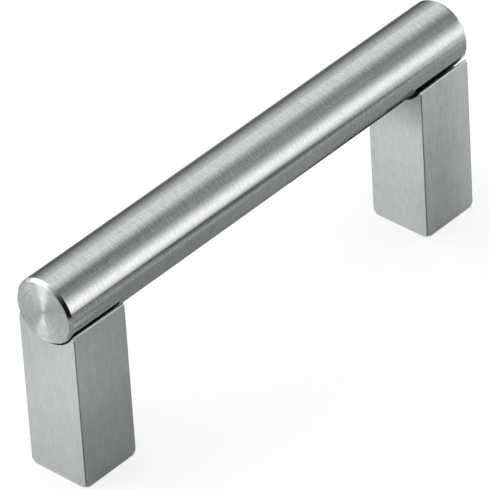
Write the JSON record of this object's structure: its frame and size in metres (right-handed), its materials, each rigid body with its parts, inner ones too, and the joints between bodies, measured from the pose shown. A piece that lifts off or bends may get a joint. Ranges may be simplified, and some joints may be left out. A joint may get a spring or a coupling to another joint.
{
  "type": "bridge pull handle",
  "caption": "Straight pull handle: a brushed round bar lies in saddles on square posts that are screwed on from behind.",
  "frame": {"origin": "on the mounting surface, halfway between the two mounting holes", "axes": "+X along the bar, +Z away from the mounting surface, +Y across the handle"},
  "size_m": [0.1024, 0.0126, 0.0412],
  "materials": {
    "bar_steel": "brushed round the bar, turned ends",
    "post_steel": "satin, grain along the post",
    "screw_steel": "plain"
  },
  "bodies": {
    "root": {"grip_bar": "bar_steel", "left_post": "post_steel", "right_post": "post_steel", "left_cap_screw": "screw_steel", "right_cap_screw": "screw_steel"}
  },
  "joints": []
}
